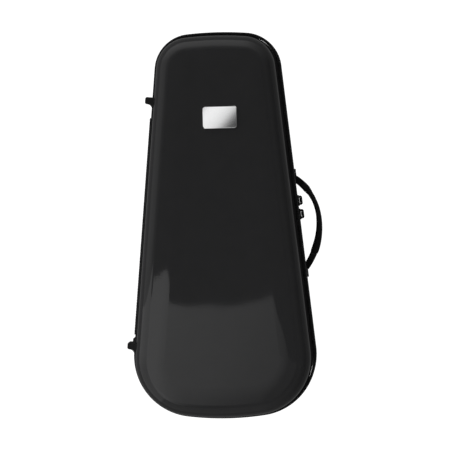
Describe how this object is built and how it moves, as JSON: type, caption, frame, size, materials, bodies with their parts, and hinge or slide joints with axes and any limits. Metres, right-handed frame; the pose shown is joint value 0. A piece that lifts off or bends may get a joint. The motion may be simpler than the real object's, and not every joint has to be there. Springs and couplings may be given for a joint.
{
  "type": "trumpet case",
  "caption": "Tapered hard-shell trumpet case: hinged domed lid, zip closure, swinging side handle, side feet, and a moulded plush nest with mouthpiece wells and accessory box.",
  "frame": {"origin": "centre of the flat back face that the case lies on", "axes": "+X to the handle and zip side, +Y to the narrow end, +Z from the back up to the lid's face"},
  "size_m": [0.2785, 0.554, 0.1626],
  "materials": {
    "shell_gloss": "high gloss, near black",
    "binding_textile": "woven textile binding, black",
    "trim_plastic": "matt black extruded trim",
    "zip_cloth": "woven tape, black",
    "zip_coil": "nylon coil, black",
    "stop_rubber": "matt black",
    "zip_metal": "black lacquered die casting",
    "foot_rubber": "matt black rubber",
    "screw_steel": "plated steel",
    "bracket_metal": "satin black powder coat",
    "cap_plastic": "satin black moulding",
    "handle_rubber": "matt black, fine grain",
    "plate_metal": "polished, bare",
    "pad_adhesive": "foam tape",
    "nest_plush": "short plush, charcoal",
    "tray_plastic": "flocked inside",
    "ribbon": "woven ribbon"
  },
  "bodies": {
    "base": {"base_shell": "shell_gloss", "base_binding": "binding_textile", "base_edge_trim": "trim_plastic", "base_zip_tape": "zip_cloth", "base_zip_chain": "zip_coil", "base_zip_stops": "stop_rubber", "base_hinge_leaf": "zip_cloth", "base_foot_upper": "foot_rubber", "base_foot_lower": "foot_rubber", "base_foot_screws": "screw_steel", "handle_bracket_upper": "bracket_metal", "handle_bracket_lower": "bracket_metal", "handle_bracket_screws": "screw_steel", "base_nest": "nest_plush", "mouthpiece_holder": "nest_plush", "accessory_tray": "tray_plastic", "accessory_hinge_tape": "ribbon"},
    "lid": {"lid_shell": "shell_gloss", "lid_binding": "binding_textile", "lid_edge_trim": "trim_plastic", "lid_zip_tape": "zip_cloth", "lid_zip_chain": "zip_coil", "lid_zip_stops": "stop_rubber", "lid_hinge_leaf": "zip_cloth", "lid_foot_upper": "foot_rubber", "lid_foot_lower": "foot_rubber", "lid_foot_screws": "screw_steel", "lid_lining": "nest_plush", "lid_valve_pad": "nest_plush", "name_plate": "plate_metal", "name_plate_pad": "pad_adhesive"},
    "slider_upper": {"zip_slider_upper": "zip_metal"},
    "slider_lower": {"zip_slider_lower": "zip_metal"},
    "pull_upper": {"zip_pull_upper": "zip_metal"},
    "pull_lower": {"zip_pull_lower": "zip_metal"},
    "handle": {"handle_strap": "handle_rubber", "handle_end_upper": "cap_plastic", "handle_end_lower": "cap_plastic"},
    "accessory_cover": {"accessory_lid": "nest_plush", "accessory_lid_tab": "ribbon"}
  },
  "joints": [
    {"name": "lid_hinge", "type": "hinge", "parent": "base", "child": "lid", "pos_m": [-0.1146, 0.00015, 0.084], "axis": [-0.099, -0.9951, 0], "range_deg": [0, 140]},
    {"name": "zip_upper_slide", "type": "slide", "parent": "base", "child": "slider_upper", "axis": [-0.099, 0.9951, 0], "range_m": [0, 0.15]},
    {"name": "zip_lower_slide", "type": "slide", "parent": "base", "child": "slider_lower", "axis": [0.099, -0.9951, 0], "range_m": [0, 0.14]},
    {"name": "pull_upper_swing", "type": "hinge", "parent": "slider_upper", "child": "pull_upper", "pos_m": [0.11416, 0.03393, 0.084], "axis": [0.099, -0.9951, 0], "range_deg": [0, 170]},
    {"name": "pull_lower_swing", "type": "hinge", "parent": "slider_lower", "child": "pull_lower", "pos_m": [0.1161, 0.01443, 0.084], "axis": [0.099, -0.9951, 0], "range_deg": [0, 170]},
    {"name": "handle_swing", "type": "hinge", "parent": "base", "child": "handle", "pos_m": [0.11033, 0.00578, 0.038], "axis": [0.099, -0.9951, 0], "range_deg": [-60, 45]},
    {"name": "accessory_lid_hinge", "type": "hinge", "parent": "base", "child": "accessory_cover", "pos_m": [0.0525, -0.153, 0.0777], "axis": [0, -1, 0], "range_deg": [0, 95]}
  ]
}
